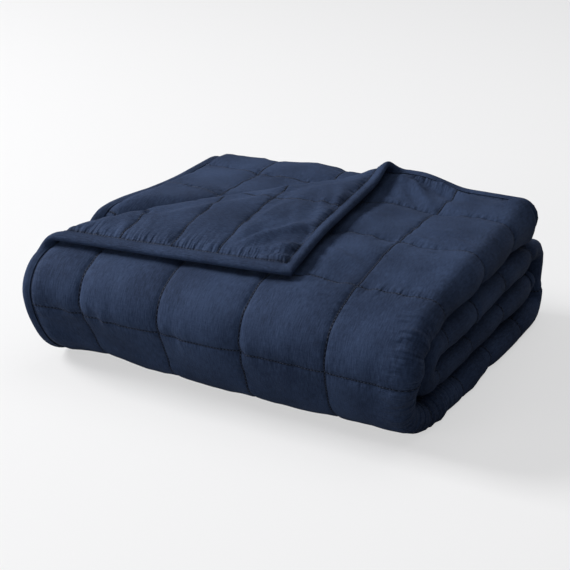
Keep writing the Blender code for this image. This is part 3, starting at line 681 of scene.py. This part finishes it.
def binding_stations():
    """Points of the edge in order round the sheet, with the inward direction (both at a corner)."""
    us, vs = (np.concatenate([[0.0], cuts[(cuts > MITRE) & (cuts < cuts[-1] - MITRE)], cuts[-1:]])
              for cuts in (U_CUTS, V_CUTS))
    sides = [np.stack([us[:-1], 0 * us[:-1]], 1), np.stack([0 * vs[:-1] + WIDTH, vs[:-1]], 1),
             np.stack([us[:0:-1], 0 * us[1:] + LENGTH], 1), np.stack([0 * vs[1:], vs[:0:-1]], 1)]
    points = np.concatenate(sides)
    return points, (points < 1e-9) * 1.0 - (points > np.array([WIDTH, LENGTH]) - 1e-9)


# %% Build the binding
profile = binding_profile()
stations, inward = binding_stations()
travelled = walked(stations)
uneven = 1.0 + 0.07 * ripple(travelled, 0 * travelled, 0.011, 1.0, 71)[:, None]
inset, height = profile[None, :, 0], profile[None, :, 1]
outside = np.abs(height) > INNER_HEIGHT + 1e-4
height = np.where(outside, np.sign(height) * (INNER_HEIGHT + (np.abs(height) - INNER_HEIGHT) * uneven),
                  height)
ring_u, ring_v = (stations[:, None, i] + inward[:, None, i] * inset for i in (0, 1))
binding_points = fold(ring_u, ring_v, height).reshape(-1, 3)
number = np.arange(len(stations) * len(profile)).reshape(len(stations), len(profile))
ahead, beside = np.roll(number, -1, axis=0), np.roll(number, -1, axis=1)
binding_quads = np.stack([number, beside, np.roll(ahead, -1, axis=1), ahead], axis=-1).reshape(-1, 4)
binding_flat = np.stack(np.broadcast_arrays(walked(profile), travelled[:, None]), -1).reshape(-1, 2)
binding = new_piece("edge_binding", binding_points, binding_quads, binding_flat)

# %% [markdown]
# ## The stitches
#
# Each stitch is a short, slightly arched grain of thread lying in its valley. We place thousands of
# them at once: for each stitch we fold two nearby flat points, which gives its direction on the cloth,
# and copy one small spindle there with a matrix product.

# %% Where the stitches are
STITCH_PITCH, STITCH_LENGTH, THREAD = 0.0048, 0.0032, 0.00040    # spacing, length, radius


def seam_lines(*runs):
    """Stitch centres on lines at the given places: u is fixed and v runs, or, if across, the other way."""
    lines = []
    for places, start, stop, across in runs:
        run = np.arange(math.ceil(start / STITCH_PITCH), math.floor(stop / STITCH_PITCH)) * STITCH_PITCH
        for place in places:
            line = np.stack([0.0 * run + place, run, 0.0 * run, 0.0 * run + 1.0], axis=1)
            lines.append(line[:, [1, 0, 3, 2]] if across else line)
    return np.concatenate(lines)


def stitch_lines():
    """All the stitch lines that can be seen, for each face: arrays of u, v and direction."""
    face = seam_lines((U_SEAMS[1:5], EDGE_FLAT, V_SEAMS[11], False),
                      (V_SEAMS[1:12], EDGE_FLAT, U_SEAMS[5], True), (V_SEAMS[12:-1], 0.50, 0.72, True))
    other = seam_lines((U_SEAMS[5:-1], EDGE_FLAT, 0.62, False),
                       (V_SEAMS[1:5], U_SEAMS[5], WIDTH - EDGE_FLAT, True))
    flap = seam_lines((FLAP_ALONG[1:-1], EDGE_FLAT, 0.50, False),
                      (FLAP_ACROSS[1:-1], EDGE_FLAT, 0.45, True),
                      ([HEM_LINE], HEM_LINE, 0.46, False), ([HEM_LINE], HEM_LINE, 0.42, True))
    face = face[crease_coordinates(face[:, 0], face[:, 1])[1] < 0.012]
    flap = flap[crease_coordinates(flap[:, 0], flap[:, 1])[1] > 0.040]
    return ((face, 1), (np.concatenate([other, flap]), -1))


# %% Build the stitches
RINGS = ((-0.5, 0.35), (-0.28, 1.0), (0.28, 1.0), (0.5, 0.35))     # share of length, share of radius
ARCH, BEND = 0.0002, 28.0      # rise of the arch's middle, and how fast it falls off
HAIR, ABOVE_FLOOR = 1e-4, 0.004
spindle_x, spindle_r = np.repeat(np.array(RINGS) * (STITCH_LENGTH, THREAD), 4, axis=0).T
spin = np.tile((np.arange(4) + 0.5) * math.pi / 2, 4)
spindle = np.stack([spindle_x, spindle_r * np.cos(spin),
                    spindle_r * np.sin(spin) + ARCH - BEND * spindle_x ** 2], axis=1)
ring = np.arange(16).reshape(4, 4)
spindle_quads = np.stack([ring[:-1], np.roll(ring, -1, 1)[:-1], np.roll(ring, -1, 1)[1:], ring[1:]],
                         -1).reshape(-1, 4)
spindle_quads = np.concatenate([spindle_quads, [(3, 2, 1, 0), (12, 13, 14, 15)]])
stitch_points = []
for lines, side in stitch_lines():
    u, v, along_u, along_v = lines.T
    lift = side * (loft(u, v) / 2 + wrinkles(u, v, side) + HAIR)
    here = fold(u, v, lift)
    tangent = fold(u + along_u * HAIR, v + along_v * HAIR, lift) - here
    normal = fold(u, v, lift + side * HAIR) - here
    tangent /= np.linalg.norm(tangent, axis=1, keepdims=True) + 1e-12
    normal -= tangent * np.sum(normal * tangent, axis=1, keepdims=True)
    normal /= np.linalg.norm(normal, axis=1, keepdims=True) + 1e-12
    axes = np.stack([tangent, np.cross(normal, tangent), normal], axis=1)
    stitch_points.append((here[:, None, :] + spindle[None] @ axes)[here[:, 2] > ABOVE_FLOOR])
stitch_points = np.concatenate(stitch_points)
offsets = len(spindle) * np.arange(len(stitch_points))[:, None, None]
stitch_quads = (spindle_quads[None] + offsets).reshape(-1, 4)
stitches = new_piece("stitching", stitch_points.reshape(-1, 3), stitch_quads)
print(len(stitch_points), "stitches")

# %% [markdown]
# ## The cloth
#
# The cloth is a washed cotton weave in a dark navy. Three things make it read as cloth: threads of
# uneven thickness that show as fine streaks down the warp, cloudy lighter areas where the dye has
# washed out, and a soft bloom at grazing angles from the loose fibres. The first two are a node group,
# so that the binding can use them too; the bloom is the shader's own sheen.

# %% Node helpers


def fill(node, values):
    """Give a node's inputs their values, by label."""
    for label, value in values.items():
        node.inputs[label].default_value = value


def feed(links, socket, value):
    """Link an output to a socket, or give the socket a plain value."""
    if isinstance(value, bpy.types.NodeSocket):
        links.new(value, socket)
    else:
        socket.default_value = value


def mixed(nodes, links, factor, first, second):
    """A mix of two colours; each argument is an output or a plain value."""
    mix = nodes.new("ShaderNodeMix")
    mix.data_type = "RGBA"
    for label, value in (("Factor", factor), ("A", first), ("B", second)):
        feed(links, mix.inputs[label], value)
    return mix.outputs["Result"]


class Wiring:
    """A node group under construction: short names for the few kinds of node that we use."""

    def __init__(self, name, inputs, outputs):
        self.group = bpy.data.node_groups.new(name, "ShaderNodeTree")
        for label, kind, value in inputs:
            made = self.group.interface.new_socket(name=label, in_out="INPUT", socket_type=kind)
            made.default_value = value
        for label in outputs:
            kind = "NodeSocketColor" if label == "Colour" else "NodeSocketFloat"
            self.group.interface.new_socket(name=label, in_out="OUTPUT", socket_type=kind)
        self.nodes, self.links = self.group.nodes, self.group.links
        self.given, self.put = self.nodes.new("NodeGroupInput"), self.nodes.new("NodeGroupOutput")
        self.cloth = self.nodes.new("ShaderNodeUVMap")
        self.cloth.uv_map = "flat"

    def noise(self, per_metre_u, per_metre_v, detail):
        """Noise on the flat cloth, so many grains to the metre each way."""
        mapping = self.nodes.new("ShaderNodeMapping")
        fill(mapping, {"Scale": (per_metre_u, per_metre_v, 1.0)})
        self.links.new(self.cloth.outputs["UV"], mapping.inputs["Vector"])
        made = self.nodes.new("ShaderNodeTexNoise")
        fill(made, {"Scale": 1.0, "Detail": detail})
        self.links.new(mapping.outputs["Vector"], made.inputs["Vector"])
        return made.outputs["Fac"]

    def maths(self, kind, *values):
        """A Math node; each value is a number or a socket."""
        made = self.nodes.new("ShaderNodeMath")
        made.operation = kind
        for socket, value in zip(made.inputs, values):
            feed(self.links, socket, value)
        return made.outputs[0]

    def step(self, value, start, stop):
        """A smooth step from 0 at start to 1 at stop."""
        made = self.nodes.new("ShaderNodeMapRange")
        made.interpolation_type = "SMOOTHSTEP"
        fill(made, {"From Min": start, "From Max": stop})
        self.links.new(value, made.inputs["Value"])
        return made.outputs["Result"]

    def stored(self, name):
        """A number stored on the mesh's points."""
        made = self.nodes.new("ShaderNodeAttribute")
        made.attribute_name = name
        return made.outputs["Fac"]

    def axes(self):
        """The flat coordinates u and v."""
        made = self.nodes.new("ShaderNodeSeparateXYZ")
        self.links.new(self.cloth.outputs["UV"], made.inputs[0])
        return made.outputs["X"], made.outputs["Y"]


# %% The weave
PAD_COLOURS = (0.0070, 0.0150, 0.039, 1.0), (0.030, 0.0505, 0.107, 1.0)    # deep and worn
# grains to the metre along u and along v, and how much fine detail they carry
SLUB, WEFT, CLOUD, FLECK = (600.0, 110.0, 2.0), (110.0, 600.0, 2.0), (11.0, 9.0, 4.0), (750.0, 750.0, 1.0)


def weave_group():
    """Colour, roughness and height of a washed plain weave, from the flat cloth coordinates."""
    w = Wiring("washed_weave", [("Deep Colour", "NodeSocketColor", PAD_COLOURS[0]),
                                ("Worn Colour", "NodeSocketColor", PAD_COLOURS[1]),
                                ("Threads per Metre", "NodeSocketFloat", 1400.0)],
               ("Colour", "Roughness", "Height"))
    slub, weft, cloud, fleck = (w.noise(*grains) for grains in (SLUB, WEFT, CLOUD, FLECK))
    u, v = w.axes()
    turns = w.maths("MULTIPLY", w.given.outputs["Threads per Metre"], 2 * math.pi)
    over, under = (w.maths("SINE", w.maths("MULTIPLY", axis, turns)) for axis in (u, v))
    threads = w.maths("MULTIPLY", over, under)
    streaks = w.maths("MULTIPLY_ADD", weft, 0.22, w.maths("MULTIPLY", slub, 0.78))
    worn = w.maths("MULTIPLY_ADD", cloud, 0.60, w.maths("MULTIPLY", streaks, 0.65))
    worn = w.maths("MULTIPLY_ADD", fleck, 0.20, worn)
    colour = mixed(w.nodes, w.links, w.step(worn, 0.50, 0.98), w.given.outputs["Deep Colour"],
                   w.given.outputs["Worn Colour"])
    w.links.new(colour, w.put.inputs["Colour"])
    w.links.new(w.maths("MULTIPLY_ADD", streaks, 0.20, 0.70), w.put.inputs["Roughness"])
    w.links.new(w.maths("MULTIPLY_ADD", threads, 0.30, streaks), w.put.inputs["Height"])
    return w.group


weave = weave_group()
print("node group", weave.name, "with", len(weave.nodes), "nodes")

# %% [markdown]
# ## Gathers, needle holes and painted seam shade
#
# A gather is a short ridge at right angles to the thread, 6 to 9 mm from the next one. It is drawn as
# noise that is squeezed along the thread and stretched away from it, and its strength is what we stored
# on the mesh. The thread's line itself is pressed in, most of all at the needle holes, which fall
# halfway between two stitches. Shade falls in a valley, on the line and in the holes, so the group also
# gives a mask of painted shade that darkens the colour there; on the turned corner the lines along u are
# the tight ones and get more of it.

# %% The sewing relief
GATHERS_LONG, GATHERS_CROSS = (34.0, 128.0, 1.5), (128.0, 34.0, 1.5)
# the shade numbers are painted shade: how far each line's valley darkens the cloth's colour
SEWN_LINES = (                 # attribute, width of the line, shade of its valley, and on the turned corner
    ("line_long", 0.0022, 0.50, 0.35),
    ("line_cross", 0.0015, 0.18, 0.70),
)


def sewing_group():
    """Height of gathers, lines and needle holes, in 0..1, and a mask of painted shade on the sewn line, its
    valley and its holes.
    """
    w = Wiring("sewn_relief_and_shade", [("Stitch Length", "NodeSocketFloat", STITCH_PITCH)], ("Height", "Line"))
    beside_long = w.maths("SUBTRACT", w.noise(*GATHERS_LONG), 0.5)
    beside_cross = w.maths("SUBTRACT", w.noise(*GATHERS_CROSS), 0.5)
    ridges = w.maths("MULTIPLY_ADD", beside_long, w.stored("gather_long"),
                     w.maths("MULTIPLY", beside_cross, w.stored("gather_cross")))
    masks, holes, valleys = [], [], []
    for run, (label, width, shade, shade_on_flap) in zip(reversed(w.axes()), SEWN_LINES):
        away = w.stored(label)
        phase = w.maths("FRACT", w.maths("DIVIDE", run, w.given.outputs["Stitch Length"]))
        off_centre = w.maths("ABSOLUTE", w.maths("SUBTRACT", phase, 0.5))
        masks.append(w.step(away, width, 0.0004))
        strength = w.maths("MULTIPLY_ADD", w.stored("flap"), shade_on_flap - shade, shade)
        valleys.append(w.maths("MULTIPLY", w.step(away, 0.0032, 0.0005), strength))
        holes.append(w.maths("MULTIPLY", w.step(away, 0.0014, 0.0005), w.step(off_centre, 0.22, 0.10)))
    line, hole = w.maths("MAXIMUM", *masks), w.maths("MAXIMUM", *holes)
    pressed = w.maths("MULTIPLY_ADD", hole, -0.55, w.maths("MULTIPLY", line, -0.35))
    w.links.new(w.maths("MULTIPLY_ADD", ridges, 5.0, pressed), w.put.inputs["Height"])
    # painted shade: the line, its valleys and its needle holes darken the colour where shade falls
    shaded = w.maths("MULTIPLY_ADD", line, 0.45, w.maths("MAXIMUM", *valleys))
    w.links.new(w.maths("MINIMUM", w.maths("MULTIPLY_ADD", hole, 0.3, shaded), 1.0), w.put.inputs["Line"])
    return w.group


sewing = sewing_group()
print("node group", sewing.name, "with", len(sewing.nodes), "nodes")

# %% Materials
BINDING_COLOURS = (0.0060, 0.0135, 0.036, 1.0), (0.029, 0.049, 0.104, 1.0)
THREAD_COLOURS = (0.014, 0.024, 0.055, 1.0), (0.034, 0.054, 0.110, 1.0)
# VALLEY_SHADE is the painted shade in the sewn valleys, as a share of the deep colour
WEAVE_HEIGHT, WEAVE_STRENGTH, GATHER_HEIGHT, VALLEY_SHADE = 0.00025, 0.8, 0.0030, 0.35
BLOOM = {"Sheen Weight": 0.05, "Sheen Roughness": 0.50, "Sheen Tint": (0.50, 0.62, 0.95, 1.0),
         "Specular IOR Level": 0.12}


def new_material(name, values):
    """A material with those values on its shader; returns its nodes, links and shader too."""
    material = bpy.data.materials.new(name)
    material.use_nodes = True
    nodes, links = material.node_tree.nodes, material.node_tree.links
    fill(nodes["Principled BSDF"], values)
    return material, nodes, links, nodes["Principled BSDF"]


def cloth_material(name, deep, worn, sewn):
    """A principled cloth fed by the weave group, and by the sewing relief and its painted seam shade where
    it is quilted.
    """
    material, nodes, links, shader = new_material(name, BLOOM)
    group, relief = nodes.new("ShaderNodeGroup"), nodes.new("ShaderNodeBump")
    group.node_tree = weave
    fill(group, {"Deep Colour": deep, "Worn Colour": worn})
    fill(relief, {"Strength": WEAVE_STRENGTH, "Distance": WEAVE_HEIGHT})
    colour = group.outputs["Colour"]
    if sewn:
        thread, gathered = nodes.new("ShaderNodeGroup"), nodes.new("ShaderNodeBump")
        thread.node_tree = sewing
        fill(gathered, {"Distance": GATHER_HEIGHT})
        links.new(thread.outputs["Height"], gathered.inputs["Height"])
        links.new(gathered.outputs["Normal"], relief.inputs["Normal"])
        # painted shade: along the seams the colour is darkened towards a share of the deep colour
        shaded = tuple(VALLEY_SHADE * x for x in deep[:3]) + (1.0,)
        colour = mixed(nodes, links, thread.outputs["Line"], colour, shaded)
    links.new(colour, shader.inputs["Base Color"])
    links.new(group.outputs["Roughness"], shader.inputs["Roughness"])
    links.new(group.outputs["Height"], relief.inputs["Height"])
    links.new(relief.outputs["Normal"], shader.inputs["Normal"])
    return material


def thread_material():
    """Plain navy sewing thread, a little lighter and glossier than the cloth."""
    material, nodes, links, shader = new_material("sewing_thread", {"Roughness": 0.55})
    place, grain = nodes.new("ShaderNodeTexCoord"), nodes.new("ShaderNodeTexNoise")
    fill(grain, {"Scale": 300.0})
    links.new(place.outputs["Object"], grain.inputs["Vector"])
    links.new(mixed(nodes, links, grain.outputs["Fac"], *THREAD_COLOURS), shader.inputs["Base Color"])
    return material


pad.data.materials.append(cloth_material("pad_cloth", *PAD_COLOURS, True))
binding.data.materials.append(cloth_material("binding_cloth", *BINDING_COLOURS, False))
stitches.data.materials.append(thread_material())
print("materials on", [piece.name for piece in (pad, binding, stitches)])

# %% [markdown]
# ## Riding and replacing
#
# The pieces ride on the blanket's one body. The pad is a sheet of cloth that was cut flat and folded,
# and the binding and stitches belong to it. They stand in for the plain solids, which stay hidden.

for piece, slot_name in ((pad, "quilted_cloth"), (binding, "binding_cloth"), (stitches, "quilted_cloth")):
    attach(piece, "root")
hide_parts("quilted_pad")
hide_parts("binding")

# %% [markdown]
# ## Floor and light
#
# The floor is plain and nearly white. To the eye it glows a little, as paper lit from below does, which
# keeps the shadow on it light; that glow doesn't light the blanket. A large soft light stands to the
# upper left, a weaker one fills in from low in front, a third hangs above the far right and picks out
# the folds on that side, and the surroundings do the rest.

# %% Floor
FLOOR_GLOW, FLOOR_DROP = 0.56, 0.0005
floor = new_piece("floor", np.array([(-8, -8, 0), (8, -8, 0), (8, 8, 0), (-8, 8, 0)]) - (0, 0, FLOOR_DROP),
                  np.array([(0, 1, 2, 3)]))
floor_paint, nodes, links, paint = new_material("pale_floor", {
    "Base Color": (0.30, 0.30, 0.302, 1.0), "Roughness": 0.9, "Specular IOR Level": 0.0,
    "Emission Color": (1.0, 1.0, 1.005, 1.0)})
seen, glow = nodes.new("ShaderNodeLightPath"), nodes.new("ShaderNodeMath")
glow.operation = "MULTIPLY"
glow.inputs[1].default_value = FLOOR_GLOW
links.new(seen.outputs["Is Camera Ray"], glow.inputs[0])
links.new(glow.outputs[0], paint.inputs["Emission Strength"])
floor.data.materials.append(floor_paint)

# %% Lights
LIGHTS = (                     # name, place, what it faces, size, power
    ("window", (-4.1, -0.75, 3.05), (0.0, 0.0, 0.1), 1.9, 325.0),
    ("fill", (-1.4, -3.0, 0.7), (0.0, 0.0, 0.05), 1.6, 38.0),
    ("ceiling", (0.4, 0.7, 2.6), (0.0, 0.0, 0.1), 2.0, 17.0),
)
for name, place, target, size, power in LIGHTS:
    light = bpy.data.lights.new(name, "AREA")
    light.size, light.energy = size, power
    lamp = bpy.data.objects.new(name, light)
    lamp.location = place
    lamp.rotation_euler = (Vector(target) - Vector(place)).to_track_quat("-Z", "Y").to_euler()
    scene.collection.objects.link(lamp)
world = bpy.data.worlds.new("studio")
world.use_nodes = True
fill(world.node_tree.nodes["Background"], {"Color": (0.96, 0.97, 1.0, 1.0), "Strength": 0.22})
scene.world = world
scene.view_settings.view_transform = "Standard"
print("lights and floor are set")
